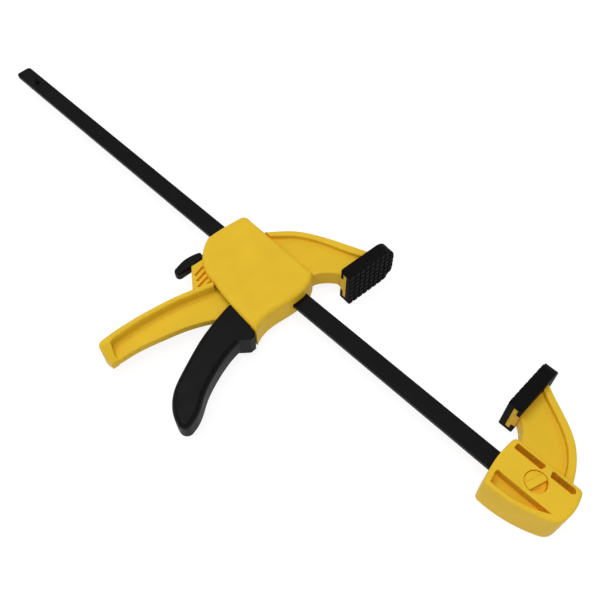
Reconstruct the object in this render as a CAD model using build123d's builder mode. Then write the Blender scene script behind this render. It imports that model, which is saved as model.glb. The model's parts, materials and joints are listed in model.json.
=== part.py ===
"""Quick release bar clamp with about 415 mm of opening, built as separate pieces.

Modelling frame: X runs along the bar towards the fixed jaw, with x = 0 at the fixed jaw's
gripping face. Y points to the jaw tips, with y = 0 on the bar's axis. Z is the normal of the
clamp's broad side, with z = 0 in the middle of the bar. The finished pieces are shifted at the
end, so that the origin is at the bottom centre of the clamp lying on its broad side.
Pieces of the sliding jaw are drawn on the carriage plane, whose x = 0 is the body's front wall.
All sizes are millimetres and degrees.
"""
import os
from math import cos, radians, sin

from build123d import *

# ---------------------------------------------------------------- driving dimensions
# Bar
bar_width = 15.0
bar_thickness = 4.0
bar_tail = 563.0
bar_nose = 72.0
bar_corner = 3.0
bar_edge_break = 0.35
stop_pin_inset = 25.0
stop_pin_radius = 2.0
stop_pin_bore = 1.2
stop_pin_reach = 5.0

# Where the sliding jaw rests, and how far its face leans towards the other jaw
jaw_opening = 144.7
toe_in = 5.5

# Pads and the T-shaped plates that carry them
pad_thickness = 11.2
pad_height = 48.0
pad_width = 38.0
pad_tip_radius = 12.0
pad_root_radius = 2.0
pad_edge_round = 0.5
pad_face_wall = 5.0
pad_foot = 34.2
plate_thickness = 3.5
plate_width = 29.0
plate_inset = 0.4
pad_tip_wall = 6.0
neck_height = 33.0
neck_start = 1.6
pad_fit = 0.15

# Moulded arms, shared by both jaws
rim_half = 12.5
web_half = 8.0
edge_soft = 1.2
cove_radius = 1.5

# Clamp body
core_half = 9.0
body_half = 13.5
body_top = 20.2
body_foot = -48.0
body_shoulder = 22.7
body_rear = -92.0
wall = 5.0
cover_round = 4.0
cover_pocket_half = 10.6
rib_width = 2.1
rib_depth = 3.2
rib_grooves = [
    (-73.0, -40.6, 10.5, 12),
    (-67.8, -43.0, 11.0, 10),
    (-62.8, -45.4, 11.5, 9),
    (-58.6, -42.6, 6.5, 6),
]
mould_gap = 0.25

# Handle
flange_half = 13.0
handle_web_half = 3.5
flange_round = 2.0
flange_cove = 2.5
flange_corner = 4.0
handle_foot = -140.5

# Trigger
trigger_half = 10.2
trigger_slot_gap = 0.7
trigger_round = 4.5
trigger_shoulder_round = 1.2
pivot_x = -11.5
pivot_y = 11.0
pivot_boss = 5.5
pivot_pin_radius = 3.0
pivot_pin_half = 12.4
running_fit = 0.05
nose_x = -14.5
nose_y = -13.8
nose_radius = 3.0

# Drive train on the bar
bar_clearance = 0.35
drive_plate_count = 3
drive_plate_thickness = 2.5
drive_plate_gap = 0.05
drive_plate_top = 11.5
drive_plate_foot = -16.0
drive_plate_half = 7.0
contact_gap = 0.2
washer_thickness = 1.0
washer_radius = 10.0
drive_wire = 0.75
drive_coil_radius = 9.2
drive_coil_turns = 6.0
bulkhead_x = -54.0

# Release lever
lever_tilt = 7.5
lever_x = -80.5
lever_y = 13.5
lever_thickness = 3.0
lever_half = 6.8
lever_length = 62.0
tongue_half = 3.6
tongue_start = -30.0
cap_half = 4.8
cap_round = 2.2
lever_side_gap = 0.4
release_wire = 0.5
release_coil_radius = 3.4
release_coil_turns = 7.0
release_spring_y = -17.5
release_pocket_x = -61.0

# Cover screws
screw_radius = 1.5
screw_clearance = 0.2
screw_head_radius = 2.6
screw_head_height = 2.0
screw_recess = 3.3
screw_tip = 12.0
screw_spots = [(-64.0, -35.0), (-64.0, 13.6), (-40.0, 15.8), (-6.4, -30.5)]
screw_boss = 3.2

# Fixed jaw
block_half = 17.5
block_top = 16.4
block_corner = 3.5
block_heel = 10.0
block_round = 2.2
pocket_round = 0.8
slot_round = 0.4
pocket_depth = 11.0
crescent_depth = 8.3
knob_x = 46.5
knob_radius = 7.7
knob_thickness = 2.5
knob_recess_depth = 7.0
knob_mouth_round = 0.5
knob_gap = 0.3
ridge_width = 5.2
ridge_lean = 18.0
ridge_round = 0.7
shoulder_round = 0.5
knob_shoulder_drop = 0.9
lock_pin_radius = 4.0
lock_pin_flats = 4.8
lock_pin_back = 15.0
ring_thickness = 1.2
ring_radius = 6.4
ring_groove = 0.6

# ---------------------------------------------------------------- places worked out from them
slot_height = bar_width + 2 * bar_clearance
slot_width = bar_thickness + 2 * bar_clearance
lean_cos = cos(radians(toe_in))
lean_sin = sin(radians(toe_in))
moving_back_x = 11.8
moving_back_y = 34.4
pad_reach = moving_back_x + pad_thickness * lean_cos + pad_height * lean_sin
front_x = -jaw_opening - pad_reach
stop_pin_x = stop_pin_inset - bar_tail
plate_back = pad_thickness - pad_face_wall - plate_thickness
plate_height = pad_height - pad_tip_wall
arm_end = pad_thickness + mould_gap
seat_z = block_half - knob_recess_depth
ring_z = -seat_z - knob_gap / 2 - ring_thickness
knob_floor = seat_z + knob_gap
ridge_top = block_half - knob_gap / 2
shoulder_top = block_half - knob_shoulder_drop

carriage = Plane(origin=(front_x, 0, 0))
fixed_seat = Plane(origin=(pad_thickness, pad_foot, 0), x_dir=(-1, 0, 0), z_dir=(0, 0, -1))
moving_seat = Plane(
    origin=(front_x + moving_back_x, moving_back_y, 0),
    x_dir=(lean_cos, -lean_sin, 0),
    z_dir=(0, 0, 1),
)
lever_plane = Plane(
    origin=(front_x + lever_x, lever_y, 0),
    x_dir=(cos(radians(lever_tilt)), -sin(radians(lever_tilt)), 0),
    z_dir=(0, 0, 1),
)
drive_face = nose_x - nose_radius - contact_gap
plate_pitch = drive_plate_thickness + drive_plate_gap
washer_face = drive_face - drive_plate_count * plate_pitch
spring_face = washer_face - washer_thickness - drive_plate_gap

os.makedirs("parts", exist_ok=True)
pieces = []


def finish(part, label):
    """Name a finished piece and keep it for export."""
    part.label = label
    pieces.append(part)


def edges_at_height(part, height):
    """Edges that lie wholly in the two planes z = height and z = -height."""
    return part.edges().filter_by(
        lambda edge: abs(edge.bounding_box().size.Z) < 0.01 and abs(abs(edge.center().Z) - height) < 0.01
    )


def edges_near(part, height, spot):
    """The edges at z = height and z = -height that pass nearest to spot, one on each side."""
    level = edges_at_height(part, height)
    return ShapeList(
        level.sort_by(lambda edge: edge.distance_to(Vertex(*spot, side * height)))[0] for side in (1, -1)
    )


# ---------------------------------------------------------------- bar and its stop pin
with BuildPart() as bar:
    with BuildSketch(Plane.XY.offset(-bar_thickness / 2)):
        with Locations(((bar_nose - bar_tail) / 2, 0)):
            RectangleRounded(bar_nose + bar_tail, bar_width, bar_corner)
    extrude(amount=bar_thickness)
    chamfer(bar.faces().filter_by(Axis.Z).edges(), bar_edge_break)
    with BuildSketch(Plane.XY.offset(-bar_thickness / 2)):
        with Locations((stop_pin_x, 0)):
            Circle(stop_pin_radius)
        with Locations((knob_x, 0)):
            Circle(lock_pin_radius + running_fit)
            Rectangle(bar_nose, lock_pin_flats + 2 * bar_clearance, align=(Align.MIN, Align.CENTER))
    extrude(amount=bar_thickness, mode=Mode.SUBTRACT)
finish(bar.part, "bar")

with BuildPart() as bar_stop_pin:
    with BuildSketch(Plane.XY.offset(-stop_pin_reach)):
        with Locations((stop_pin_x, 0)):
            Circle(stop_pin_radius)
            Circle(stop_pin_bore, mode=Mode.SUBTRACT)
    extrude(amount=2 * stop_pin_reach)
    chamfer(bar_stop_pin.edges().filter_by(GeomType.CIRCLE).group_by(SortBy.RADIUS)[-1], 0.3)
finish(bar_stop_pin.part, "bar_stop_pin")


# ---------------------------------------------------------------- pads
def jaw_pad(seat, label):
    """Rubber pad that slides over a jaw's T-shaped plate; seat lies on its back face."""
    with BuildPart() as pad:
        with BuildSketch(seat.offset(-pad_width / 2)):
            Rectangle(pad_thickness, pad_height, align=(Align.MIN, Align.MIN))
        extrude(amount=pad_width)
        corners = pad.edges().filter_by(Axis(seat.origin, seat.x_dir))
        fillet(corners.group_by(Axis.Y)[-1], pad_tip_radius)
        corners = pad.edges().filter_by(Axis(seat.origin, seat.x_dir))
        fillet(corners.group_by(Axis.Y)[0], pad_root_radius)
        fillet(pad.edges(), pad_edge_round)
        with BuildSketch(seat.offset(-plate_width / 2 - pad_fit)):
            with Locations((plate_back - pad_fit, 0)):
                Rectangle(
                    plate_thickness + 2 * pad_fit,
                    plate_height + pad_fit,
                    align=(Align.MIN, Align.MIN),
                )
        extrude(amount=plate_width + 2 * pad_fit, mode=Mode.SUBTRACT)
        with BuildSketch(seat.offset(-web_half - pad_fit)):
            Rectangle(plate_back, neck_height + pad_fit, align=(Align.MIN, Align.MIN))
        extrude(amount=2 * (web_half + pad_fit), mode=Mode.SUBTRACT)
    finish(pad.part, label)


def jaw_plate(seat):
    """T-shaped plate and its neck, for the jaw whose pad sits on this seat."""
    with BuildPart() as plate:
        with BuildSketch(seat.offset(-plate_width / 2)):
            with Locations((plate_back, plate_inset)):
                Rectangle(
                    plate_thickness, plate_height - plate_inset, align=(Align.MIN, Align.MIN)
                )
        extrude(amount=plate_width)
        with BuildSketch(seat.offset(-web_half)):
            with Locations((0, plate_inset)):
                Rectangle(plate_back, neck_height - plate_inset, align=(Align.MIN, Align.MIN))
            with Locations((-wall, neck_start)):
                Rectangle(wall, neck_height - neck_start, align=(Align.MIN, Align.MIN))
        extrude(amount=2 * web_half)
    return plate.part


jaw_pad(fixed_seat, "fixed_jaw_pad")
jaw_pad(moving_seat, "moving_jaw_pad")


# ---------------------------------------------------------------- fixed jaw
with BuildSketch() as slot_outline:
    with BuildLine():
        Polyline((22.4, 13.7), (45.5, 13.7), (44.0, 9.0), (22.4, 9.0), close=True)
    make_face()
    with BuildLine():
        Polyline((50.2, 13.7), (67.6, 13.7), (69.8, 11.2), (67.6, 9.0), (51.4, 9.0), close=True)
    make_face()
    fillet(slot_outline.vertices(), 1.0)

with BuildSketch() as crescent_outline:
    with BuildLine():
        Line((65.6, -11.0), (23.0, -11.0))
        Line((23.0, -11.0), (25.2, -20.8))
        ThreePointArc((25.2, -20.8), (46.0, -18.9), (65.6, -11.0))
    make_face()
    fillet(crescent_outline.vertices().group_by(Axis.X)[0], 1.2)

with BuildPart() as fixed_arm:
    with BuildSketch(Plane.XY.offset(-web_half)):
        with BuildLine():
            Spline((arm_end, 68.6), (32.6, 56.0), (49.1, 44.4), (60.3, 29.0), (66.0, 14.0))
            Line((66.0, 14.0), (22.6, 14.0))
            Line((22.6, 14.0), (22.6, 18.0))
            Spline((22.6, 18.0), (20.6, 25.4), (16.2, 31.8), (arm_end, 36.0))
            Line((arm_end, 36.0), (arm_end, 68.6))
        make_face()
    extrude(amount=2 * web_half)
    with BuildSketch(Plane.XY.offset(-rim_half)):
        with BuildLine():
            Spline((arm_end, 68.6), (32.6, 56.0), (49.1, 44.4), (60.3, 29.0), (66.0, 14.0))
            Line((66.0, 14.0), (59.0, 14.0))
            Spline((59.0, 14.0), (55.2, 26.8), (45.4, 40.0), (30.0, 51.0), (arm_end, 62.0))
            Line((arm_end, 62.0), (arm_end, 68.6))
        make_face()
    extrude(amount=2 * rim_half)
    fillet(edges_at_height(fixed_arm, rim_half).filter_by(lambda edge: edge.length > 2 * wall), edge_soft)
    fillet(edges_near(fixed_arm, web_half, (45.4, 40.0)), cove_radius)
    fillet(edges_near(fixed_arm, web_half, (20.6, 25.4)), edge_soft)

with BuildPart() as fixed_jaw:
    with BuildSketch(Plane.XY.offset(-block_half)) as block_outline:
        with BuildLine():
            ThreePointArc((18.8, block_top), (17.8, 0), (22.0, -24.0))
            ThreePointArc((22.0, -24.0), (49.5, -21.6), (73.3, -12.7))
            ThreePointArc((73.3, -12.7), (75.5, 0), (72.0, block_top))
            Line((72.0, block_top), (18.8, block_top))
        make_face()
        heel = block_outline.vertices().sort_by_distance((73.3, -12.7))[0]
        fillet(heel, block_heel)
        corners = block_outline.vertices().filter_by(lambda spot: spot.Y > 10 or spot.X < 25)
        fillet(corners, block_corner)
    extrude(amount=2 * block_half)
    fillet(fixed_jaw.faces().filter_by(Axis.Z).edges(), block_round)
    # Lightening pockets and the lock's round recess, the same on both broad sides
    for side in (1, -1):
        with BuildSketch(Plane.XY.offset(side * block_half)):
            add(slot_outline.sketch)
        extrude(amount=-side * pocket_depth, mode=Mode.SUBTRACT)
        with BuildSketch(Plane.XY.offset(side * block_half)):
            add(crescent_outline.sketch)
        extrude(amount=-side * crescent_depth, mode=Mode.SUBTRACT)
        outer_face = fixed_jaw.faces().filter_by(Axis.Z).sort_by(Axis.Z)[-1 if side > 0 else 0]
        for mouth in outer_face.inner_wires():
            fillet(mouth.edges(), slot_round if mouth.center().Y > 0 else pocket_round)
        with BuildSketch(Plane.XY.offset(side * block_half)):
            with Locations((knob_x, 0)):
                Circle(knob_radius + knob_gap)
        extrude(amount=-side * knob_recess_depth, mode=Mode.SUBTRACT)
        outer_face = fixed_jaw.faces().filter_by(Axis.Z).sort_by(Axis.Z)[-1 if side > 0 else 0]
        mouths = outer_face.edges().filter_by(GeomType.CIRCLE)
        fillet(mouths.sort_by_distance((knob_x, 0, side * block_half))[0], knob_mouth_round)
    add(fixed_arm.part)
    add(jaw_plate(fixed_seat))
    with BuildSketch(Plane.YZ):
        Rectangle(slot_height, slot_width)
    extrude(amount=bar_nose + wall, mode=Mode.SUBTRACT)
    with BuildSketch(Plane.XY.offset(-block_half)):
        with Locations((knob_x, 0)):
            Circle(lock_pin_radius + running_fit)
    extrude(amount=2 * block_half, mode=Mode.SUBTRACT)
finish(fixed_jaw.part, "fixed_jaw")

# The knob is a disc with a finger bar across it, deeper on the side towards the bar's end.
with BuildPart() as jaw_lock_knob:
    with BuildSketch(Plane.XY.offset(knob_floor)):
        with Locations((knob_x, 0)):
            Circle(knob_radius)
    extrude(amount=knob_thickness)
    with BuildSketch(Plane.XY.offset(knob_floor)):
        with Locations((knob_x, 0)):
            Rectangle(
                knob_radius,
                4 * knob_radius,
                rotation=-ridge_lean,
                align=(Align.MAX, Align.CENTER),
            )
            Circle(knob_radius, mode=Mode.INTERSECT)
    extrude(amount=shoulder_top - knob_floor)
    with BuildSketch(Plane.XY.offset(knob_floor)):
        with Locations((knob_x, 0)):
            Rectangle(ridge_width, 4 * knob_radius, rotation=-ridge_lean)
            Circle(knob_radius, mode=Mode.INTERSECT)
    extrude(amount=ridge_top - knob_floor)
    fillet(jaw_lock_knob.faces().sort_by(Axis.Z)[-1].edges(), ridge_round)
    shoulder_rim = edges_at_height(jaw_lock_knob, shoulder_top).filter_by(GeomType.CIRCLE)
    fillet(shoulder_rim, shoulder_round)
    with BuildSketch(Plane.XY.offset(knob_floor)):
        with Locations((knob_x, 0)):
            Circle(lock_pin_radius)
    extrude(amount=knob_thickness - 1, mode=Mode.SUBTRACT)
finish(jaw_lock_knob.part, "jaw_lock_knob")

with BuildPart() as jaw_lock_pin:
    with BuildSketch(Plane.XY.offset(-lock_pin_back)):
        with Locations((knob_x, 0)):
            Circle(lock_pin_radius)
    extrude(amount=lock_pin_back + knob_floor + knob_thickness - 1)
    with BuildSketch(Plane.XY.offset(-bar_thickness / 2 - 1)):
        with Locations((knob_x, 0)):
            Circle(2 * lock_pin_radius)
            Rectangle(lock_pin_flats, 4 * lock_pin_radius, mode=Mode.SUBTRACT)
    extrude(amount=bar_thickness + 2, mode=Mode.SUBTRACT)
    with BuildSketch(Plane.XY.offset(ring_z)):
        with Locations((knob_x, 0)):
            Circle(lock_pin_radius + 1)
            Circle(lock_pin_radius - ring_groove, mode=Mode.SUBTRACT)
    extrude(amount=ring_thickness, mode=Mode.SUBTRACT)
finish(jaw_lock_pin.part, "jaw_lock_pin")

with BuildPart() as jaw_lock_ring:
    with BuildSketch(Plane.XY.offset(ring_z)):
        with Locations((knob_x, 0)):
            Circle(ring_radius)
            Circle(lock_pin_radius - ring_groove, mode=Mode.SUBTRACT)
            Rectangle(
                2 * ring_radius, lock_pin_radius, align=(Align.MIN, Align.CENTER), mode=Mode.SUBTRACT
            )
    extrude(amount=ring_thickness)
finish(jaw_lock_ring.part, "jaw_lock_ring")


# ---------------------------------------------------------------- sliding body
# Side outline of the clamp body, shared by the housing's core and both covers.
with BuildSketch() as body_outline:
    with BuildLine():
        Spline((-5.5, body_top), (0.6, 6), (-0.2, -12), (-2.6, -29), (1.4, body_foot))
        ThreePointArc((1.4, body_foot), (-30, -45.4), (-57, -40.8))
        ThreePointArc((-57, -40.8), (-79.4, -31.6), (body_rear, -14))
        ThreePointArc((body_rear, -14), (-90.7, 3), (-87.4, body_shoulder))
        Line((-87.4, body_shoulder), (-5.5, body_top))
    make_face()
    fillet(body_outline.vertices().group_by(Axis.Y)[-1], 5.5)

# Ribbed block between the release lever and the handle, flush with the core.
with BuildSketch() as knuckle_outline:
    with BuildLine():
        Polyline(
            (-79.9, -26), (-81.5, -41.8), (-75.8, -46.4), (-64, -55.6), (-60, -53), (-56, -36), close=True
        )
    make_face()


# Room for the plates, spring and trigger between the front wall and the bulkhead.
with BuildSketch() as drive_room:
    with BuildLine():
        Line((-wall, 10), (-wall, -60))
        Line((-wall, -60), (bulkhead_x - 1, -60))
        Line((bulkhead_x - 1, -60), (bulkhead_x - 1, -22))
        Line((bulkhead_x - 1, -22), (bulkhead_x, -20))
        Line((bulkhead_x, -20), (bulkhead_x, 12))
        Line((bulkhead_x, 12), (-22, 12))
        Line((-22, 12), (-18, 17.3))
        Line((-18, 17.3), (-8, 17.3))
        ThreePointArc((-8, 17.3), (-wall - 0.7, 14.5), (-wall, 10))
    make_face()
    with Locations(screw_spots[3]):
        Circle(screw_boss, mode=Mode.SUBTRACT)


# Thin middle web of the handle; its top stiffens the body inside the trigger's slot.
with BuildSketch() as handle_web:
    with BuildLine():
        Polyline((-56, -36), (-56, -24), (-33, -24), (-31, -50), (-32.1, -59.5))
        Spline(
            (-32.1, -59.5), (-38.2, -69.4), (-44.8, -83.8), (-49.2, -97), (-53.6, -111.4), (-57, -130.2),
        )
        Polyline((-57, -130.2), (-58.4, handle_foot + 0.6), (-73, -138), (-72, -105), (-64, -70), (-56, -36))
    make_face()


# Wide rear flange of the handle, turning along its foot.
with BuildSketch() as handle_flange:
    with BuildLine():
        Spline(
            (-56, -41), (-61.2, -56.1), (-66.5, -72.4), (-70.1, -88.6), (-73.0, -104.8), (-74.8, -121),
            (-75.3, -134), tangents=[(-0.33, -0.95), (0, -1)],
        )
        ThreePointArc((-75.3, -134), (-74.0, -138.2), (-70.6, -140))
        Line((-70.6, -140), (-58.4, handle_foot))
        Line((-58.4, handle_foot), (-57.8, -136.2))
        Line((-57.8, -136.2), (-70.2, -130.8))
        Spline(
            (-70.2, -130.8), (-69.7, -121), (-68.3, -104.8), (-65.5, -88.6), (-61.9, -72.4), (-56.5, -56.5),
            (-52, -43),
        )
        Line((-52, -43), (-56, -41))
    make_face()
    fillet(handle_flange.vertices().filter_by(lambda spot: abs(spot.X + 70.2) < 0.1), flange_corner)


# Web of the sliding jaw's arm.
with BuildSketch() as arm_web:
    with BuildLine():
        Spline(
            (-68, 17), (-57, 28.1), (-46.1, 39.4), (-35.2, 46.7), (-24.3, 52.1), (-2.5, 60.9), (14.4, 67.4)
        )
        Line((14.4, 67.4), (12.0, 36.8))
        Spline((12.0, 36.8), (6.3, 35.2), (0.8, 30.5), (-4.2, 23.9), (-5.6, 17))
        Line((-5.6, 17), (-68, 17))
    make_face()


# Raised rim along the outer edge of the sliding jaw's arm.
with BuildSketch() as arm_rim:
    with BuildLine():
        Spline(
            (-68, 17), (-57, 28.1), (-46.1, 39.4), (-35.2, 46.7), (-24.3, 52.1), (-2.5, 60.9), (14.4, 67.4)
        )
        Line((14.4, 67.4), (13.9, 61))
        Spline((13.9, 61), (8.4, 58.2), (-7.9, 52.1), (-24.3, 46.3), (-40.6, 37.3), (-51.6, 26.8), (-60, 17))
        Line((-60, 17), (-68, 17))
    make_face()


with BuildPart() as arm:
    with BuildSketch(carriage.offset(-web_half)):
        add(arm_web.sketch)
    extrude(amount=2 * web_half)
    with BuildSketch(carriage.offset(-rim_half)):
        add(arm_rim.sketch)
    extrude(amount=2 * rim_half)
    fillet(edges_at_height(arm, rim_half).filter_by(lambda edge: edge.length > 2 * wall), edge_soft)
    fillet(edges_near(arm, web_half, (front_x - 40.6, 37.3)), cove_radius)
    fillet(edges_near(arm, web_half, (front_x + 0.8, 30.5)), edge_soft)

with BuildPart() as handle:
    with BuildSketch(carriage.offset(-flange_half)):
        add(handle_flange.sketch)
    extrude(amount=2 * flange_half)
    with BuildSketch(carriage.offset(-handle_web_half)):
        add(handle_web.sketch)
    extrude(amount=2 * handle_web_half)
    fillet(edges_near(handle, handle_web_half, (front_x - 44.8, -83.8)), edge_soft)
    fillet(edges_near(handle, handle_web_half, (front_x - 65.5, -88.6)), flange_cove)
    rim_edges = edges_at_height(handle, flange_half)
    fillet(rim_edges.filter_by(lambda edge: edge.center().Y < -45), flange_round)
    # The foot narrows towards the trigger's side
    with BuildSketch(Plane(origin=(front_x, -130, 0), x_dir=(1, 0, 0), z_dir=(0, -1, 0))):
        for side in (1, -1):
            with BuildLine():
                Polyline(
                    (-70, side * (flange_half + 1)),
                    (-70, side * flange_half),
                    (-58, side * handle_web_half),
                    (-56, side * handle_web_half),
                    (-56, side * (flange_half + 1)),
                    close=True,
                )
            make_face()
    extrude(amount=13, mode=Mode.SUBTRACT)

with BuildPart() as knuckle:
    with BuildSketch(carriage.offset(-core_half)):
        add(knuckle_outline.sketch)
    extrude(amount=2 * core_half)
    fillet(edges_at_height(knuckle, core_half), edge_soft)
    # Grip ribs
    for side in (1, -1):
        with BuildSketch(carriage.offset(side * core_half)):
            for rib_x, rib_y, rib_length, rib_turn in rib_grooves:
                with Locations((rib_x, rib_y)):
                    Rectangle(rib_width, rib_length, rotation=rib_turn)
        extrude(amount=-side * rib_depth, mode=Mode.SUBTRACT)

with BuildPart() as housing:
    with BuildSketch(carriage.offset(-core_half)):
        add(body_outline.sketch)
    extrude(amount=2 * core_half)
    add(knuckle.part)
    add(arm.part)
    add(jaw_plate(moving_seat))
    # Drive room, then release room with its fulcrum notch
    with BuildSketch(carriage.offset(-core_half)):
        add(drive_room.sketch)
    extrude(amount=2 * core_half, mode=Mode.SUBTRACT)
    with BuildSketch(carriage.offset(-lever_half - lever_side_gap)):
        with BuildLine():
            Polyline(
                (-84.3, 11.5), (-82.6, 11.5), (-82.6, lever_y + 1.8), (-78.4, lever_y + 1.8), (-78.4, 11.5),
                (-73, 11.5), (-73, -24), (-93, -24), (-87.3, -18), (-86.2, 0), close=True,
            )
        make_face()
    extrude(amount=2 * (lever_half + lever_side_gap), mode=Mode.SUBTRACT)
    with BuildSketch(carriage.offset(-cap_half - lever_side_gap)):
        with BuildLine():
            Polyline((-73, -22), (-69.5, -32), (-69.5, -62), (-95, -62), (-95, -20), (-86, -20), close=True)
        make_face()
    extrude(amount=2 * (cap_half + lever_side_gap), mode=Mode.SUBTRACT)
    add(handle.part)
    # Bar slot, spring pocket and screw holes
    with BuildSketch(Plane.YZ.offset(front_x + body_rear - 1)):
        Rectangle(slot_height, slot_width)
    extrude(amount=2 - body_rear, mode=Mode.SUBTRACT)
    with BuildSketch(Plane.YZ.offset(front_x - 74)):
        with Locations((release_spring_y, 0)):
            Circle(release_coil_radius + release_wire + bar_clearance)
    extrude(amount=74 + release_pocket_x, mode=Mode.SUBTRACT)
    with BuildSketch(carriage.offset(-core_half)):
        with Locations(*screw_spots):
            Circle(screw_radius + screw_clearance)
    extrude(amount=2 * core_half, mode=Mode.SUBTRACT)
    # Everything thicker than the core gives way to the covers
    for side in (1, -1):
        with BuildSketch(carriage.offset(side * core_half)):
            add(body_outline.sketch)
            offset(amount=mould_gap)
        extrude(amount=side * core_half, mode=Mode.SUBTRACT)
finish(housing.part, "housing")


def side_cover(side, label):
    """Moulded cover over one side of the body; side is 1 for the front, -1 for the back."""
    with BuildPart() as cover:
        with BuildSketch(carriage.offset(side * core_half)):
            add(body_outline.sketch)
        extrude(amount=side * (body_half - core_half))
        outer_face = cover.faces().filter_by(Axis.Z).sort_by(Axis.Z)[-1 if side > 0 else 0]
        fillet(outer_face.edges(), cover_round)
        with BuildSketch(carriage.offset(side * core_half)):
            add(drive_room.sketch)
        extrude(amount=side * (cover_pocket_half - core_half), mode=Mode.SUBTRACT)
        with BuildSketch(carriage.offset(side * core_half)):
            with Locations((pivot_x, pivot_y)):
                Circle(pivot_pin_radius)
        extrude(amount=side * (pivot_pin_half - core_half), mode=Mode.SUBTRACT)
        if side > 0:
            with BuildSketch(carriage.offset(core_half)):
                with Locations(*screw_spots):
                    Circle(screw_radius)
            extrude(amount=screw_tip - core_half, mode=Mode.SUBTRACT)
        else:
            with BuildSketch(carriage.offset(-body_half)):
                with Locations(*screw_spots):
                    Circle(screw_radius + screw_clearance)
            extrude(amount=body_half - core_half, mode=Mode.SUBTRACT)
            with BuildSketch(carriage.offset(-body_half)):
                with Locations(*screw_spots):
                    Circle(screw_head_radius + screw_clearance)
            extrude(amount=screw_recess, mode=Mode.SUBTRACT)
    finish(cover.part, label)


side_cover(1, "front_cover")
side_cover(-1, "back_cover")

with BuildPart() as cover_screws:
    with BuildSketch(carriage.offset(screw_recess - body_half)):
        with Locations(*screw_spots):
            Circle(screw_radius)
    extrude(amount=screw_tip + body_half - screw_recess)
    with BuildSketch(carriage.offset(screw_recess - body_half)):
        with Locations(*screw_spots):
            Circle(screw_head_radius)
    extrude(amount=-screw_head_height)
    fillet(cover_screws.faces().filter_by(Axis.Z).group_by(Axis.Z)[0].edges(), 0.6)
    with BuildSketch(carriage.offset(screw_recess - body_half - screw_head_height)):
        with Locations(*screw_spots):
            Rectangle(3.4, 0.8)
            Rectangle(0.8, 3.4)
    extrude(amount=1.2, mode=Mode.SUBTRACT)
finish(cover_screws.part, "cover_screws")

# ---------------------------------------------------------------- trigger and its pin
with BuildPart() as trigger:
    with BuildSketch(carriage.offset(-trigger_half)):
        with BuildLine():
            Polyline(
                (-14.5, 10), (-6, 10), (-6, -16), (-10.6, -21), (-10.6, -38), (-6, -44), (-6, body_foot - 0.4),
                (0, body_foot - 0.4), (3.1, -51.2), (3.1, -55.5), (-2.4, -61.5),
            )
            Spline(
                (-2.4, -61.5), (-2.1, -66), (0.7, -80.5), (5.2, -94.1), (12, -108.8), (18.8, -119.5),
                (22.6, -130),
            )
            ThreePointArc((22.6, -130), (21.4, -136.4), (15.5, -138))
            Spline(
                (15.5, -138), (1.7, -131.5), (-6.6, -122.8), (-13.1, -110.6), (-19.7, -95.2),
                (-25.2, -80.9), (-29.6, -64.5), (-31.8, -53.4),
            )
            Polyline((-31.8, -53.4), (-31.8, -46), (-28, -40), (-17.5, -28), (-15.2, -20), (-14.5, 10))
        make_face()
        with Locations((pivot_x, pivot_y)):
            Circle(pivot_boss)
        with Locations((nose_x, nose_y)):
            Circle(nose_radius)
    extrude(amount=2 * trigger_half)
    rims = edges_at_height(trigger, trigger_half)
    fillet(rims.filter_by(lambda edge: edge.center().Y < -60), trigger_round)
    rims = edges_at_height(trigger, trigger_half)
    fillet(rims.filter_by(lambda edge: -60 < edge.center().Y < -49), trigger_shoulder_round)
    # Fork over the bar, slot for the handle's web, pin bore
    with BuildSketch(carriage.offset(-slot_width / 2 - bar_clearance)):
        with Locations((pivot_x, nose_y + nose_radius / 2)):
            Rectangle(30, 40, align=(Align.CENTER, Align.MIN))
    extrude(amount=slot_width + 2 * bar_clearance, mode=Mode.SUBTRACT)
    with BuildSketch(carriage.offset(-handle_web_half - trigger_slot_gap)):
        with BuildLine():
            Polyline(
                (-40, -19.5), (-17, -19.5), (-17, -27), (-6.2, -58), (-8, -72), (-9, -100), (-12, -118),
                (-40, -125), close=True,
            )
        make_face()
    extrude(amount=2 * (handle_web_half + trigger_slot_gap), mode=Mode.SUBTRACT)
    with BuildSketch(carriage.offset(-trigger_half)):
        with Locations((pivot_x, pivot_y)):
            Circle(pivot_pin_radius + running_fit)
    extrude(amount=2 * trigger_half, mode=Mode.SUBTRACT)
finish(trigger.part, "trigger")

with BuildPart() as trigger_pivot_pin:
    with BuildSketch(carriage.offset(-pivot_pin_half)):
        with Locations((pivot_x, pivot_y)):
            Circle(pivot_pin_radius)
    extrude(amount=2 * pivot_pin_half)
finish(trigger_pivot_pin.part, "trigger_pivot_pin")

# ---------------------------------------------------------------- drive plates, washer and spring
for index in range(drive_plate_count):
    plate_face = front_x + drive_face - index * plate_pitch
    with BuildPart() as drive_plate:
        with BuildSketch(Plane.YZ.offset(plate_face)):
            with Locations(((drive_plate_top + drive_plate_foot) / 2, 0)):
                RectangleRounded(drive_plate_top - drive_plate_foot, 2 * drive_plate_half, 1.5)
            Rectangle(slot_height, slot_width, mode=Mode.SUBTRACT)
        extrude(amount=-drive_plate_thickness)
    finish(drive_plate.part, f"drive_plate_{index + 1}")

with BuildPart() as spring_washer:
    with BuildSketch(Plane.YZ.offset(front_x + washer_face)):
        Circle(washer_radius)
        Rectangle(slot_height, slot_width, mode=Mode.SUBTRACT)
    extrude(amount=-washer_thickness)
finish(spring_washer.part, "spring_washer")


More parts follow.
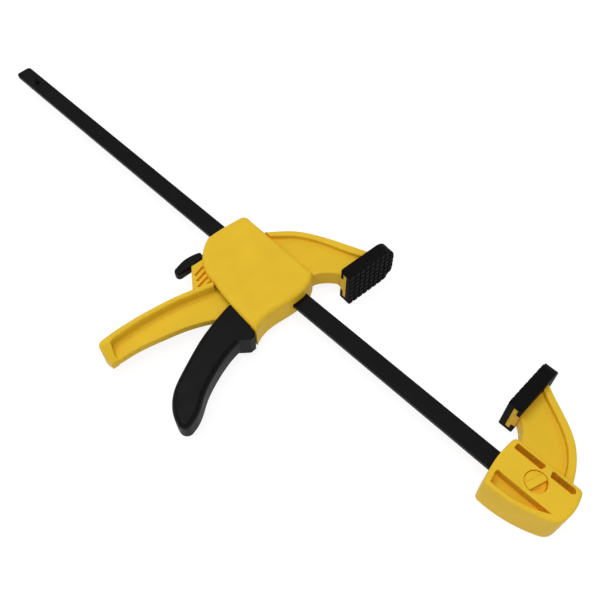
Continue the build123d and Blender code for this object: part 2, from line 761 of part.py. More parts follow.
def coil_spring(seat, length, coil_radius, wire_radius, turns, label):
    """Compression spring of round wire, standing on seat and reaching length along its normal."""
    end_gap = wire_radius + drive_plate_gap
    height = length - 2 * end_gap
    with BuildPart() as spring:
        with BuildLine() as wire_path:
            Helix(
                pitch=height / turns,
                height=height,
                radius=coil_radius,
                center=seat.from_local_coords((0, 0, end_gap)),
                direction=seat.z_dir,
            )
        with BuildSketch(wire_path.line ^ 0):
            Circle(wire_radius)
        sweep(path=wire_path.line, is_frenet=True)
    finish(spring.part, label)


coil_spring(
    Plane(origin=(front_x + bulkhead_x, 0, 0), z_dir=(1, 0, 0)),
    spring_face - bulkhead_x,
    drive_coil_radius,
    drive_wire,
    drive_coil_turns,
    "drive_spring",
)

# ---------------------------------------------------------------- release lever
with BuildPart() as release_plate:
    with BuildSketch(lever_plane.offset(-lever_half)):
        Circle(lever_thickness / 2)
        Rectangle(lever_thickness, -tongue_start, align=(Align.CENTER, Align.MAX))
    extrude(amount=2 * lever_half)
    with BuildSketch(lever_plane.offset(-tongue_half)):
        Rectangle(lever_thickness, lever_length, align=(Align.CENTER, Align.MAX))
    extrude(amount=2 * tongue_half)
    with BuildSketch(lever_plane.offset(-slot_width / 2)):
        with Locations((0, -lever_y)):
            Rectangle(2 * lever_thickness, slot_height + 0.4)
    extrude(amount=slot_width, mode=Mode.SUBTRACT)
finish(release_plate.part, "release_plate")

with BuildPart() as release_cap:
    with BuildSketch(lever_plane.offset(-cap_half)):
        with BuildLine():
            Spline(
                (-4.4, -40.0), (-6.2, -47), (-6.2, -55), (-3.1, -65.3),
                tangents=[(-0.5, -0.87), (0.316, -0.949)],
            )
            ThreePointArc((-3.1, -65.3), (1.1, -67.7), (4.1, -63.7))
            Spline((4.1, -63.7), (3.5, -54), (2.7, -40.0), tangents=[(-0.1, 0.995), (-0.05, 1)])
            Line((2.7, -40.0), (-4.4, -40.0))
        make_face()
    extrude(amount=2 * cap_half)
    fillet(release_cap.faces().filter_by(Axis.Z).edges(), cap_round)
    with BuildSketch(lever_plane.offset(-tongue_half)):
        Rectangle(lever_thickness, lever_length, align=(Align.CENTER, Align.MAX))
    extrude(amount=2 * tongue_half, mode=Mode.SUBTRACT)
finish(release_cap.part, "release_cap")

lever_front = lever_plane.from_local_coords((lever_thickness / 2, release_spring_y - lever_y, 0))
coil_spring(
    Plane(origin=(front_x + release_pocket_x, release_spring_y, 0), z_dir=(-1, 0, 0)),
    front_x + release_pocket_x - lever_front.X - 2 * contact_gap,
    release_coil_radius,
    release_wire,
    release_coil_turns,
    "release_spring",
)

# ---------------------------------------------------------------- shift to the origin and write
clamp_box = Compound(children=[part.moved(Location()) for part in pieces]).bounding_box()
to_origin = Location((-clamp_box.center().X, -clamp_box.center().Y, -clamp_box.min.Z))
for part in pieces:
    label = part.label
    placed = part.moved(to_origin)
    placed.label = label
    export_step(placed, f"parts/{label}.step")
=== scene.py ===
import json
import math

import bmesh
import bpy
from bpy.props import FloatProperty, FloatVectorProperty, PointerProperty
from bpy.types import Operator, Panel, PropertyGroup
from mathutils import Matrix, Vector


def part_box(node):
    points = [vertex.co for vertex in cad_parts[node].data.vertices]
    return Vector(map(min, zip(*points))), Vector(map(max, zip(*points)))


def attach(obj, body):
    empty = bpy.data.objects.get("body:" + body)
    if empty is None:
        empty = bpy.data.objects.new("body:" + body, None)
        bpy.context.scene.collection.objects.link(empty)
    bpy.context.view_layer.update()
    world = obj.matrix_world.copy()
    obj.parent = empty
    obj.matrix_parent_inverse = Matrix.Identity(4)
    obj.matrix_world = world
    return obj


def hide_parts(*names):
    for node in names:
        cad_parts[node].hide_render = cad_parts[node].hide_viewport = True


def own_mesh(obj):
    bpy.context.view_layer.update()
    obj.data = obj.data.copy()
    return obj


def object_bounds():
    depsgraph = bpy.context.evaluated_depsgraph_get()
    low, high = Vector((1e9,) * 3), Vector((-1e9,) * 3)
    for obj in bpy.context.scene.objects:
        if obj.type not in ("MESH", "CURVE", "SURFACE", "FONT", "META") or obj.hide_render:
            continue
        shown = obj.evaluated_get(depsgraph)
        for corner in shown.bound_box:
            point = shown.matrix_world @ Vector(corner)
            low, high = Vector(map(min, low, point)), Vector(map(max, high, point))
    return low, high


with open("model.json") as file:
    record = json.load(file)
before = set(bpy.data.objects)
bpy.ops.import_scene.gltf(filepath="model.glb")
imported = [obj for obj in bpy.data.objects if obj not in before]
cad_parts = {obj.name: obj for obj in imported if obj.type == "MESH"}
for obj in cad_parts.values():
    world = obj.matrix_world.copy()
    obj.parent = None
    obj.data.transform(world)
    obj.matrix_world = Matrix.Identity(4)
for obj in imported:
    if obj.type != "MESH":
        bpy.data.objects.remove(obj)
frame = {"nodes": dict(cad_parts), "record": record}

bl_info = {
    "name": "Quick Release Bar Clamp",
    "version": (1, 0, 0),
    "blender": (4, 5, 0),
    "location": "3D View > Sidebar > Bar Clamp",
    "description": "Dresses the packed bar clamp with its finishes, grip pads and studio",
    "category": "Add Mesh",
}

CAD_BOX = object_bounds()

# Pieces of the frame, by the finish they take.
YELLOW_MOULDINGS = ("housing", "front_cover", "back_cover", "fixed_jaw", "jaw_lock_knob")
BLACK_MOULDINGS = ("trigger", "release_cap")
BLACKENED_BARS = ("bar", "bar_stop_pin")
BRIGHT_PINS = ("jaw_lock_pin", "jaw_lock_ring", "trigger_pivot_pin")
STAMPED_PLATES = ("drive_plate_1", "drive_plate_2", "drive_plate_3", "spring_washer", "release_plate")
SPRINGS = ("drive_spring", "release_spring")
SCREWS = ("cover_screws",)

# Widths of the finest grain of each finish, in metres.
RUBBER_GRAIN = 0.0005
DRAWING_LINE = 0.0006
MACHINING_LINE = 0.0004

# Soft edges that catch light, in metres.
RUBBER_EDGE = 0.0003
BAR_EDGE = 0.0003
STEEL_EDGE = 0.0002

# Openness, from 1 in the open to 0 deep in a hollow, over which painted shade darkens the yellow in
# creases and painted bounce light warms it deep in pockets.
CREASE_SHADE_BAND = (0.5, 0.95)
POCKET_GLOW_BAND = (0.3, 0.62)

# Edges that bend by more than this many degrees stay crisp.
CRISP_ANGLE = 35
# Seams that bend by less than this many degrees are dissolved.
FLAT_ANGLE = 0.5

# Points closer than this many metres are one.
SAME_PLACE = 1e-6
# Two unit normals whose product is above this look the same way.
SAME_WAY = 0.999
# Thinnest sliver that a cut through a mesh may leave, in metres.
CUT_TOLERANCE = 1e-7

# A tooth that keeps less than this share of a pitch squared at the pad's outline is left out.
SMALLEST_TOOTH = 0.15
# Share of the tooth draft that rounds the rim of its top.
RIM_SHARE = 0.8

# Height on the unit sky where the horizon's light starts to dim, and where it has dimmed.
DIMMING_SKY = (0.12, 0.45)

# The view: its place from the point where the fixed pad's face crosses the bar's axis, and directions.
CAMERA_PLACE = Vector((0.053087, -0.219961, 0.482277))
CAMERA_RIGHT = Vector((0.70965, 0.70449, -0.00994))
CAMERA_UP = Vector((-0.58593, 0.59794, 0.54695))
CAMERA_LENS = 43.56


# ------------------------------------------------------------------ sizes and colours
class ClampFinishSettings(PropertyGroup):
    """Colours and surface grain of the clamp's materials."""

    yellow: FloatVectorProperty(
        name="Yellow moulding", description="Colour of the moulded jaws and body",
        subtype="COLOR", size=3, min=0, max=1, default=(0.76, 0.485, 0.024),
    )
    black: FloatVectorProperty(
        name="Black moulding", description="Colour of the trigger and the release tab",
        subtype="COLOR", size=3, min=0, max=1, default=(0.0035, 0.0035, 0.0037),
    )
    rubber: FloatVectorProperty(
        name="Pad rubber", description="Colour of the two jaw pads",
        subtype="COLOR", size=3, min=0, max=1, default=(0.0035, 0.0035, 0.0036),
    )
    bar: FloatVectorProperty(
        name="Bar", description="Colour of the blackened steel bar",
        subtype="COLOR", size=3, min=0, max=1, default=(0.0035, 0.0035, 0.0037),
    )
    steel: FloatVectorProperty(
        name="Bare steel", description="Colour of pins, plates, screws and springs",
        subtype="COLOR", size=3, min=0, max=1, default=(0.5, 0.5, 0.51),
    )
    # Painted shade: a darker yellow laid into the coves and creases, where shade falls.
    crease_shade_yellow: FloatVectorProperty(
        name="Yellow in creases", description="Colour of the yellow moulding along its coves",
        subtype="COLOR", size=3, min=0, max=1, default=(0.7, 0.385, 0.014),
    )
    # Painted light: a brighter, warmer yellow laid deep in the slots and pockets, standing in for
    # light bounced inside the plastic.
    pocket_glow_yellow: FloatVectorProperty(
        name="Yellow in pockets", description="Warm colour of the yellow moulding deep in its slots",
        subtype="COLOR", size=3, min=0, max=1, default=(0.94, 0.51, 0.018),
    )
    # Reach of the painted shade and the painted glow in the hollows.
    shade_and_glow_reach: FloatProperty(
        name="Hollow reach", description="Width of the pockets and creases that turn warmer",
        subtype="DISTANCE", unit="LENGTH", min=0.001, max=0.02, default=0.006,
    )
    grain: FloatProperty(
        name="Moulding grain", description="Width of one grain of the moulded texture",
        subtype="DISTANCE", unit="LENGTH", min=0.0001, max=0.01, default=0.0007,
    )
    grain_depth: FloatProperty(
        name="Grain depth", description="Height of the moulded texture",
        subtype="DISTANCE", unit="LENGTH", min=0, max=0.001, default=0.00004,
    )
    soft_edge: FloatProperty(
        name="Soft edge", description="Radius that every moulded edge catches light with",
        subtype="DISTANCE", unit="LENGTH", min=0, max=0.003, default=0.0005,
    )


class ClampPadSettings(PropertyGroup):
    """Blunt teeth on the gripping faces of the pads."""

    pitch: FloatProperty(
        name="Tooth pitch", description="Distance from one tooth to the next",
        subtype="DISTANCE", unit="LENGTH", min=0.002, max=0.01, default=0.0053,
    )
    groove: FloatProperty(
        name="Groove width", description="Width of the grooves between the teeth",
        subtype="DISTANCE", unit="LENGTH", min=0.0004, max=0.003, default=0.0012,
    )
    height: FloatProperty(
        name="Tooth height", description="How far the teeth stand above the grooves",
        subtype="DISTANCE", unit="LENGTH", min=0.0003, max=0.003, default=0.0008,
    )
    draft: FloatProperty(
        name="Tooth draft", description="How far each tooth narrows towards its top",
        subtype="DISTANCE", unit="LENGTH", min=0, max=0.001, default=0.00025,
    )


class ClampStageSettings(PropertyGroup):
    """Floor, light and camera."""

    floor_colour: FloatVectorProperty(
        name="Floor", description="Colour of the floor",
        subtype="COLOR", size=3, min=0, max=1, default=(0.9, 0.9, 0.9),
    )
    floor_size: FloatProperty(
        name="Floor size", description="Length of the floor's side",
        subtype="DISTANCE", unit="LENGTH", min=1, max=50, default=12,
    )
    key_power: FloatProperty(
        name="Softbox power", description="Power of the large softbox above the clamp",
        subtype="POWER", unit="POWER", min=0, max=2000, default=20,
    )
    key_size: FloatVectorProperty(
        name="Softbox size", description="Length and width of the softbox",
        subtype="XYZ_LENGTH", unit="LENGTH", size=2, min=0.1, max=10, default=(1.8, 1.2),
    )
    key_place: FloatVectorProperty(
        name="Softbox place", description="Place of the softbox, from the middle of the clamp",
        subtype="TRANSLATION", unit="LENGTH", size=3, default=(-0.05, -0.2, 1.6),
    )
    room_light: FloatProperty(
        name="Overhead light", description="Strength of the even light from above",
        min=0, max=2, default=0.36,
    )
    horizon_light: FloatProperty(
        name="Horizon light", description="Strength of the even light from the sides",
        min=0, max=2, default=0.92,
    )
    floor_glow: FloatProperty(
        name="Floor glow", description="Strength of the white that the floor shows by itself",
        min=0, max=2, default=1.1,
    )
    glow_share: FloatProperty(
        name="Glow share", description="Share of that white in the floor, the rest takes shadow",
        subtype="FACTOR", min=0, max=1, default=0.8,
    )


def finishes():
    """The scene's colours and grain."""
    return bpy.context.scene.clamp_finishes


# ------------------------------------------------------------------ materials
class Recipe:
    """Builds one node material a step at a time."""

    def __init__(self, name):
        self.material = bpy.data.materials.new(name)
        self.material.use_nodes = True
        self.tree = self.material.node_tree
        self.shader = self.tree.nodes["Principled BSDF"]
        self.place = self.add("ShaderNodeTexCoord").outputs["Object"]

    def add(self, kind, **values):
        made = self.tree.nodes.new(kind)
        for name, value in values.items():
            setattr(made, name, value)
        return made

    def join(self, source, target):
        self.tree.links.new(source, target)

    def stretch(self, scale):
        """Object coordinates scaled along the three axes."""
        mapping = self.add("ShaderNodeMapping")
        mapping.inputs["Scale"].default_value = scale
        self.join(self.place, mapping.inputs["Vector"])
        return mapping.outputs["Vector"]

    def noise(self, size, detail=3.0, roughness=0.5, where=None):
        """Noise whose features are about size metres wide."""
        made = self.add("ShaderNodeTexNoise")
        made.inputs["Scale"].default_value = 1 / size
        made.inputs["Detail"].default_value = detail
        made.inputs["Roughness"].default_value = roughness
        self.join(where or self.place, made.inputs["Vector"])
        return made.outputs["Fac"]

    def spread(self, source, low, high, start=0.3, stop=0.7):
        """Maps source from start..stop to low..high."""
        made = self.add("ShaderNodeMapRange")
        made.inputs["From Min"].default_value = start
        made.inputs["From Max"].default_value = stop
        made.inputs["To Min"].default_value = low
        made.inputs["To Max"].default_value = high
        self.join(source, made.inputs["Value"])
        return made.outputs["Result"]

    def tint(self, factor, first, second):
        """Colour that goes from first to second as factor goes from 0 to 1."""
        made = self.add("ShaderNodeMix", data_type="RGBA")
        start, end = made.inputs[6], made.inputs[7]  # the two colour sockets of a Mix node
        if isinstance(first, bpy.types.NodeSocket):
            self.join(first, start)
        else:
            start.default_value = (*first, 1)
        end.default_value = (*second, 1)
        self.join(factor, made.inputs["Factor"])
        return made.outputs[2]

    def bump(self, height, depth, strength, under):
        """Relief of depth metres from height, laid over the normal that is under it."""
        made = self.add("ShaderNodeBump")
        made.inputs["Strength"].default_value = strength
        made.inputs["Distance"].default_value = depth
        self.join(height, made.inputs["Height"])
        self.join(under, made.inputs["Normal"])
        return made.outputs["Normal"]

    def openness(self, reach):
        """1 on open surfaces, falling to 0 deep inside pockets and creases."""
        made = self.add("ShaderNodeAmbientOcclusion", samples=8)
        made.inputs["Distance"].default_value = reach
        return made.outputs["AO"]

    def soft_edge(self, radius):
        """Normal that rounds every edge by this radius."""
        made = self.add("ShaderNodeBevel", samples=4)
        made.inputs["Radius"].default_value = radius
        return made.outputs["Normal"]

    def set(self, name, source):
        """Joins a node output to a socket of the shader, or sets a plain value on it."""
        socket = self.shader.inputs[name]
        if isinstance(source, bpy.types.NodeSocket):
            self.join(source, socket)
        else:
            socket.default_value = source


def shade(colour, factor):
    """The same colour, lighter or darker by factor."""
    return tuple(min(1.0, part * factor) for part in colour)


def moulded_plastic(name, colour, roughness, tone, gloss, hollow_shade_and_glow=None):
    """Satin injection moulding: fine spark-eroded grain, slight tone drift, soft edges, and when
    asked, painted shade in creases and a painted warm glow deep in pockets.
    """
    settings = finishes()
    recipe = Recipe(name)
    drift = recipe.spread(recipe.noise(0.022, detail=4.0), 0, 1)
    base = recipe.tint(drift, shade(colour, 1 - tone), shade(colour, 1 + tone))
    if hollow_shade_and_glow:
        openness = recipe.openness(settings.shade_and_glow_reach)
        crease_shade, pocket_glow = hollow_shade_and_glow
        # Painted shade: the yellow darkens towards its crease colour where the surface is hidden from
        # the light.
        base = recipe.tint(recipe.spread(openness, 1, 0, *CREASE_SHADE_BAND), base, crease_shade)
        # Painted light: deep in the pockets the yellow turns a brighter warm orange, standing in for
        # bounced light.
        base = recipe.tint(recipe.spread(openness, 1, 0, *POCKET_GLOW_BAND), base, pocket_glow)
    recipe.set("Base Color", base)
    sheen = recipe.noise(0.009, detail=5.0, roughness=0.6)
    recipe.set("Roughness", recipe.spread(sheen, roughness - 0.05, roughness + 0.07))
    recipe.set("Specular IOR Level", gloss)
    edge = recipe.soft_edge(settings.soft_edge)
    waves = recipe.noise(0.02, detail=2.0)
    sink = recipe.bump(waves, depth=0.00025, strength=0.35, under=edge)
    grain = recipe.noise(settings.grain, detail=2.0, roughness=0.6)
    recipe.set("Normal", recipe.bump(grain, depth=settings.grain_depth, strength=0.8, under=sink))
    return recipe.material


def pad_rubber(name, colour):
    """Matt rubber with a powdery bloom."""
    recipe = Recipe(name)
    cloud = recipe.noise(0.006, detail=6.0, roughness=0.65)
    bloom = recipe.spread(cloud, 0, 1, start=0.35, stop=0.75)
    recipe.set("Base Color", recipe.tint(bloom, colour, shade(colour, 1.35)))
    recipe.set("Roughness", recipe.spread(recipe.noise(0.003, detail=4.0), 0.58, 0.74))
    recipe.set("Specular IOR Level", 0.06)
    edge = recipe.soft_edge(RUBBER_EDGE)
    grain = recipe.noise(RUBBER_GRAIN, detail=3.0, roughness=0.65)
    recipe.set("Normal", recipe.bump(grain, depth=0.00003, strength=0.7, under=edge))
    return recipe.material


def blackened_steel(name, colour):
    """Black oxide over rolled strip: lengthwise drawing lines, faint blotches, worn sheen."""
    recipe = Recipe(name)
    along = recipe.stretch((0.03, 1, 1))
    lines = recipe.noise(DRAWING_LINE, detail=4.0, roughness=0.6, where=along)
    blotch = recipe.spread(recipe.noise(0.016, detail=5.0, roughness=0.6), 0, 1)
    recipe.set("Base Color", recipe.tint(blotch, shade(colour, 0.8), shade(colour, 1.35)))
    recipe.set("Specular IOR Level", 0.1)
    recipe.set("Roughness", recipe.spread(lines, 0.34, 0.5))
    edge = recipe.soft_edge(BAR_EDGE)
    recipe.set("Normal", recipe.bump(lines, depth=0.000012, strength=0.6, under=edge))
    return recipe.material


def bare_steel(name, colour, roughness, run=(1, 1, 1)):
    """Bare or plated steel with fine machining lines along one direction."""
    recipe = Recipe(name)
    lines = recipe.noise(MACHINING_LINE, detail=4.0, roughness=0.6, where=recipe.stretch(run))
    cloud = recipe.spread(recipe.noise(0.004, detail=4.0), 0, 1)
    recipe.set("Base Color", recipe.tint(cloud, shade(colour, 0.86), shade(colour, 1.08)))
    recipe.set("Metallic", 1.0)
    recipe.set("Roughness", recipe.spread(lines, roughness - 0.08, roughness + 0.08))
    edge = recipe.soft_edge(STEEL_EDGE)
    recipe.set("Normal", recipe.bump(lines, depth=0.000008, strength=0.5, under=edge))
    return recipe.material


def dress(names, material):
    """Gives the frame's own pieces this material."""
    for name in names:
        for slot in frame["nodes"][name].material_slots:
            slot.material = material


# ------------------------------------------------------------------ clamp
def merged_copy(node):
    """bmesh of a frame piece with its loose triangles joined up and its flat faces whole."""
    shape = bmesh.new()
    shape.from_mesh(frame["nodes"][node].data)
    bmesh.ops.remove_doubles(shape, verts=shape.verts, dist=SAME_PLACE)
    bmesh.ops.dissolve_limit(
        shape, angle_limit=math.radians(FLAT_ANGLE), use_dissolve_boundaries=False,
        verts=shape.verts, edges=shape.edges,
    )
    return shape


def new_piece(name, shape, material):
    """Turns a finished bmesh into an object with smooth rounds and crisp corners."""
    mesh = bpy.data.meshes.new(name)
    shape.to_mesh(mesh)
    shape.free()
    mesh.materials.append(material)
    mesh.shade_smooth()
    mesh.set_sharp_from_angle(angle=math.radians(CRISP_ANGLE))
    piece = bpy.data.objects.new(name, mesh)
    bpy.context.scene.collection.objects.link(piece)
    return piece


def mount(name):
    """Place and outward direction of one of the record's mounts."""
    found = next(item for item in frame["record"]["mounts"] if item["name"] == name)
    return Vector(found["pos_m"]), Vector(found["axis"]).normalized()


def faces_on_plane(shape, point, normal):
    """Faces that lie in the plane through point and look along normal."""
    return [
        face for face in shape.faces
        if face.normal.dot(normal) > SAME_WAY
        and abs((face.calc_center_median() - point).dot(normal)) < SAME_PLACE
    ]


def sink_face(shape, floor, outward):
    """Cuts everything beyond the floor plane away and gives back the new flat face."""
    cut = bmesh.ops.bisect_plane(
        shape, geom=[*shape.verts, *shape.edges, *shape.faces], dist=CUT_TOLERANCE,
        plane_co=floor, plane_no=outward, clear_outer=True,
    )
    rim = [item for item in cut["geom_cut"] if isinstance(item, bmesh.types.BMEdge)]
    bmesh.ops.edgeloop_fill(shape, edges=rim)
    bmesh.ops.recalc_face_normals(shape, faces=shape.faces)
    return max(faces_on_plane(shape, floor, outward), key=lambda face: face.calc_area())


def tooth_plan(sunk, floor, outward, upward, across, settings):
    """One flat face for each tooth, trimmed to the outline of the sunk face."""
    plan = bmesh.new()
    spans = []
    for axis in (upward, across):
        reach = [(vert.co - floor).dot(axis) for vert in sunk.verts]
        low, high = min(reach), max(reach)
        count = round((high - low) / settings.pitch)
        step = (high - low) / count
        sides = [[low + index * step, low + (index + 1) * step] for index in range(count)]
        for side in sides:
            side[0] += settings.groove / 2
            side[1] -= settings.groove / 2
        sides[0][0] -= settings.groove
        sides[-1][1] += settings.groove
        spans.append(sides)
    for bottom, top in spans[0]:
        for left, right in spans[1]:
            centre = floor + upward * (bottom + top) / 2 + across * (left + right) / 2
            sides = (across * (right - left), upward * (top - bottom), outward)
            place = Matrix.Translation(centre) @ Matrix(sides).transposed().to_4x4()
            bmesh.ops.create_grid(plan, x_segments=1, y_segments=1, size=0.5, matrix=place)
    middle = sunk.calc_center_median()
    for edge in sunk.edges:
        along = (edge.verts[1].co - edge.verts[0].co).normalized()
        away = along.cross(outward)
        if away.dot(edge.verts[0].co - middle) < 0:
            away.negate()
        bmesh.ops.bisect_plane(
            plan, geom=[*plan.verts, *plan.edges, *plan.faces], dist=CUT_TOLERANCE,
            plane_co=edge.verts[0].co, plane_no=away, clear_outer=True,
        )
    smallest = SMALLEST_TOOTH * settings.pitch ** 2
    small = [face for face in plan.faces if face.calc_area() < smallest]
    bmesh.ops.delete(plan, geom=small, context="FACES")
    bmesh.ops.dissolve_degenerate(plan, edges=plan.edges, dist=settings.draft / 2)
    for face in plan.faces:
        face.normal_update()
        if face.normal.dot(outward) < 0:
            face.normal_flip()
    return plan


def toothed_pad(node, face_mount, body, material):
    """Pad whose gripping face is sunk by a tooth's height and carries a waffle of blunt teeth."""
    settings = bpy.context.scene.clamp_pads
    point, outward = mount(face_mount)
    across = Vector((0, 0, 1))
    upward = across.cross(outward)
    shape = merged_copy(node)
    floor = point - outward * settings.height
    sunk = sink_face(shape, floor, outward)
    teeth = tooth_plan(sunk, floor, outward, upward, across, settings)
    crests = teeth.faces[:]
    soles = bmesh.ops.duplicate(teeth, geom=[*teeth.verts, *teeth.edges, *teeth.faces])["geom"]
    flat = [item for item in soles if isinstance(item, bmesh.types.BMFace)]
    bmesh.ops.reverse_faces(teeth, faces=flat)
    bmesh.ops.inset_individual(teeth, faces=crests, thickness=settings.draft, depth=settings.height)
    bmesh.ops.remove_doubles(teeth, verts=teeth.verts, dist=CUT_TOLERANCE)
    rims = list({edge for face in crests if face.is_valid for edge in face.edges})
    bmesh.ops.bevel(
        teeth, geom=rims, offset=settings.draft * RIM_SHARE, offset_type="OFFSET", segments=2,
        profile=0.5, affect="EDGES", clamp_overlap=True, material=-1,
    )
    waffle = bpy.data.meshes.new(f"{node}_teeth")
    teeth.to_mesh(waffle)
    teeth.free()
    shape.from_mesh(waffle)
    bpy.data.meshes.remove(waffle)
    pad = new_piece(f"{node}_rubber", shape, material)
    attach(pad, body)
    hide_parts(node)


def squashing_spring(node, body, material):
    """Copy of a coil spring on its body, with a mesh of its own."""
    spring = new_piece(f"{node}_coil", merged_copy(node), material)
    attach(spring, body)
    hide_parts(node)
    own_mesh(spring)


def clamp_origin():
    """Where the fixed pad's gripping face crosses the bar's axis."""
    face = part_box("fixed_jaw_pad")[0].x
    low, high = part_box("bar")
    return Vector((face, (low.y + high.y) / 2, (low.z + high.z) / 2))


class CLAMP_OT_mouldings(Operator):
    """Finish the yellow moulded body, covers, fixed jaw and lock knob"""

    bl_idname = "clamp.mouldings"
    bl_label = "Yellow mouldings"

    def execute(self, context):
        colours = finishes()
        yellow = moulded_plastic(
            "yellow_moulded_plastic", colours.yellow, roughness=0.48, tone=0.04, gloss=0.12,
            # Painted shade in the creases and a painted warm glow deep in the pockets.
            hollow_shade_and_glow=(colours.crease_shade_yellow, colours.pocket_glow_yellow),
        )
        dress(YELLOW_MOULDINGS, yellow)
        return {"FINISHED"}


class CLAMP_OT_trigger(Operator):
    """Finish the black trigger and the release tab"""

    bl_idname = "clamp.trigger"
    bl_label = "Trigger and release tab"

    def execute(self, context):
        black = moulded_plastic(
            "black_moulded_plastic", finishes().black, roughness=0.46, tone=0.15, gloss=0.1,
        )
        dress(BLACK_MOULDINGS, black)
        return {"FINISHED"}


class CLAMP_OT_pads(Operator):
    """Make the two rubber jaw pads with their waffle of teeth"""

    bl_idname = "clamp.pads"
    bl_label = "Jaw pads"

    def execute(self, context):
        rubber = pad_rubber("pad_rubber", finishes().rubber)
        toothed_pad("fixed_jaw_pad", "fixed_jaw_face", "frame", rubber)
        toothed_pad("moving_jaw_pad", "moving_jaw_face", "carriage", rubber)
        return {"FINISHED"}


class CLAMP_OT_bar(Operator):
    """Finish the blackened steel bar"""

    bl_idname = "clamp.bar"
    bl_label = "Bar"

    def execute(self, context):
        dress(BLACKENED_BARS, blackened_steel("blackened_bar_steel", finishes().bar))
        return {"FINISHED"}


class CLAMP_OT_steel_parts(Operator):
    """Finish pins, drive plates and cover screws"""

    bl_idname = "clamp.steel_parts"
    bl_label = "Steel parts"

    def execute(self, context):
        steel = finishes().steel
        ground = bare_steel("ground_pin_steel", steel, roughness=0.28, run=(1, 1, 0.05))
        stamped = bare_steel("stamped_plate_steel", shade(steel, 0.8), roughness=0.38, run=(1, 0.1, 1))
        plated = bare_steel("plated_screw_steel", shade(steel, 0.75), roughness=0.33)
        dress(BRIGHT_PINS, ground)
        dress(STAMPED_PLATES, stamped)
        dress(SCREWS, plated)
        return {"FINISHED"}


class CLAMP_OT_springs(Operator):
    """Make the two coil springs of the trigger and the release lever"""

    bl_idname = "clamp.springs"
    bl_label = "Springs"

    def execute(self, context):
        wire = bare_steel("drawn_spring_wire", finishes().steel, roughness=0.3)
        for node in SPRINGS:
            squashing_spring(node, "carriage", wire)
        return {"FINISHED"}


# ------------------------------------------------------------------ stage
class CLAMP_OT_stage(Operator):
    """Lay the floor, hang the softbox and place the camera"""

    bl_idname = "clamp.stage"
    bl_label = "Studio"

    def execute(self, context):
        scene = context.scene
        settings = scene.clamp_stage
        scene.view_settings.view_transform = "Standard"
        centre = (Vector(CAD_BOX[0]) + Vector(CAD_BOX[1])) / 2
        lay_floor(settings, centre)
        light_room(settings)
        hang_softbox(settings, centre)
        scene.camera = place_camera()
        return {"FINISHED"}


def lay_floor(settings, centre):
    """A pale floor under the clamp that takes shadow, and glows white where it is looked at."""
    mesh = bpy.data.meshes.new("floor")
    shape = bmesh.new()
    bmesh.ops.create_grid(shape, x_segments=1, y_segments=1, size=settings.floor_size / 2)
    bmesh.ops.translate(shape, vec=(centre.x, centre.y, CAD_BOX[0][2]), verts=shape.verts)
    shape.to_mesh(mesh)
    shape.free()
    floor = bpy.data.objects.new("floor", mesh)
    bpy.context.scene.collection.objects.link(floor)
    material = bpy.data.materials.new("studio_floor")
    material.use_nodes = True
    tree = material.node_tree
    shader = tree.nodes["Principled BSDF"]
    shader.inputs["Base Color"].default_value = (*settings.floor_colour, 1)
    shader.inputs["Roughness"].default_value = 0.9
    shader.inputs["Specular IOR Level"].default_value = 0.1
    glow = tree.nodes.new("ShaderNodeEmission")
    path = tree.nodes.new("ShaderNodeLightPath")
    seen = path.outputs["Is Camera Ray"]
    for ray in ("Is Glossy Ray", "Is Transmission Ray"):
        either = tree.nodes.new("ShaderNodeMath")
        either.operation = "MAXIMUM"
        tree.links.new(seen, either.inputs[0])
        tree.links.new(path.outputs[ray], either.inputs[1])
        seen = either.outputs[0]
    share = tree.nodes.new("ShaderNodeMath")
    share.operation = "MULTIPLY"
    share.inputs[1].default_value = settings.glow_share
    glow.inputs["Strength"].default_value = settings.floor_glow
    blend = tree.nodes.new("ShaderNodeMixShader")
    tree.links.new(seen, share.inputs[0])
    tree.links.new(share.outputs[0], blend.inputs[0])
    tree.links.new(shader.outputs[0], blend.inputs[1])
    tree.links.new(glow.outputs[0], blend.inputs[2])
    tree.links.new(blend.outputs[0], tree.nodes["Material Output"].inputs["Surface"])
    mesh.materials.append(material)


def light_room(settings):
    """Even white light from all round, bright at the horizon and dimmer overhead."""
    world = bpy.data.worlds.new("studio_room")
    world.use_nodes = True
    bpy.context.scene.world = world
    tree = world.node_tree
    background = tree.nodes["Background"]
    background.inputs["Color"].default_value = (1, 1, 1, 1)
    direction = tree.nodes.new("ShaderNodeTexCoord")
    split = tree.nodes.new("ShaderNodeSeparateXYZ")
    strength = tree.nodes.new("ShaderNodeMapRange")
    strength.interpolation_type = "SMOOTHSTEP"
    strength.inputs["From Min"].default_value = DIMMING_SKY[0]
    strength.inputs["From Max"].default_value = DIMMING_SKY[1]
    strength.inputs["To Min"].default_value = settings.horizon_light
    strength.inputs["To Max"].default_value = settings.room_light
    tree.links.new(direction.outputs["Generated"], split.inputs[0])
    tree.links.new(split.outputs["Z"], strength.inputs["Value"])
    tree.links.new(strength.outputs["Result"], background.inputs["Strength"])


def hang_softbox(settings, centre):
    """A large softbox that looks at the middle of the clamp."""
    lamp = bpy.data.lights.new("softbox", "AREA")
    lamp.shape = "RECTANGLE"
    lamp.size, lamp.size_y = settings.key_size
    lamp.energy = settings.key_power
    holder = bpy.data.objects.new("softbox", lamp)
    bpy.context.scene.collection.objects.link(holder)
    place = centre + Vector(settings.key_place)
    aim = (centre - place).to_track_quat("-Z", "Y")
    holder.matrix_world = Matrix.Translation(place) @ aim.to_matrix().to_4x4()


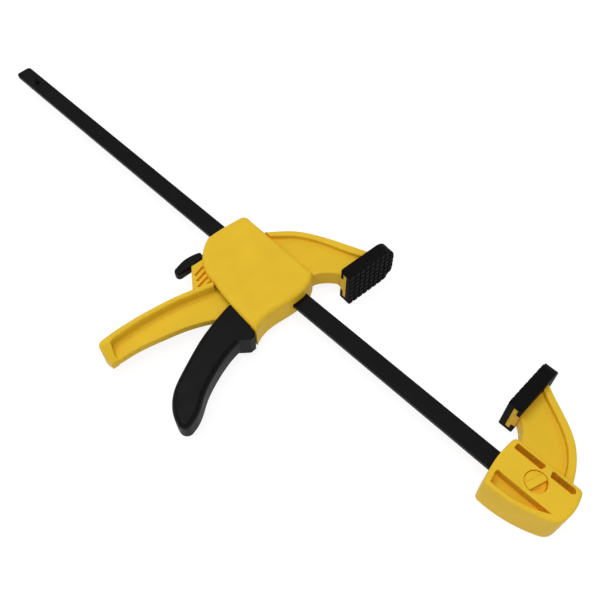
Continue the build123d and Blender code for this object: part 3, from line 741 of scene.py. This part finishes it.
def place_camera():
    """The camera looks down on the clamp from beyond its handle side, near the fixed jaw."""
    lens = bpy.data.cameras.new("view_camera")
    lens.sensor_width = 36
    lens.lens = CAMERA_LENS
    lens.clip_start = 0.01
    lens.clip_end = 20
    camera = bpy.data.objects.new("view_camera", lens)
    bpy.context.scene.collection.objects.link(camera)
    back = CAMERA_RIGHT.cross(CAMERA_UP)
    turn = Matrix((CAMERA_RIGHT, CAMERA_UP, back)).transposed().to_4x4()
    camera.matrix_world = Matrix.Translation(clamp_origin() + CAMERA_PLACE) @ turn
    return camera


# ------------------------------------------------------------------ panel and registration
STEPS = (
    CLAMP_OT_mouldings, CLAMP_OT_trigger, CLAMP_OT_pads, CLAMP_OT_bar, CLAMP_OT_steel_parts,
    CLAMP_OT_springs, CLAMP_OT_stage,
)


class CLAMP_PT_sidebar(Panel):
    """Sizes, colours and building steps of the bar clamp"""

    bl_label = "Bar Clamp"
    bl_idname = "CLAMP_PT_sidebar"
    bl_space_type = "VIEW_3D"
    bl_region_type = "UI"
    bl_category = "Bar Clamp"

    def draw(self, context):
        scene = context.scene
        for group in (scene.clamp_finishes, scene.clamp_pads, scene.clamp_stage):
            box = self.layout.box()
            for name in group.bl_rna.properties.keys():
                if name not in ("rna_type", "name"):
                    box.prop(group, name)
        for step in STEPS:
            self.layout.operator(step.bl_idname)


CLASSES = (ClampFinishSettings, ClampPadSettings, ClampStageSettings, *STEPS, CLAMP_PT_sidebar)


def register():
    for cls in CLASSES:
        bpy.utils.register_class(cls)
    bpy.types.Scene.clamp_finishes = PointerProperty(type=ClampFinishSettings)
    bpy.types.Scene.clamp_pads = PointerProperty(type=ClampPadSettings)
    bpy.types.Scene.clamp_stage = PointerProperty(type=ClampStageSettings)


def unregister():
    del bpy.types.Scene.clamp_stage
    del bpy.types.Scene.clamp_pads
    del bpy.types.Scene.clamp_finishes
    for cls in reversed(CLASSES):
        bpy.utils.unregister_class(cls)


def main():
    register()
    bpy.ops.clamp.mouldings()
    bpy.ops.clamp.trigger()
    bpy.ops.clamp.pads()
    bpy.ops.clamp.bar()
    bpy.ops.clamp.steel_parts()
    bpy.ops.clamp.springs()
    bpy.ops.clamp.stage()


if __name__ == "__main__":
    main()
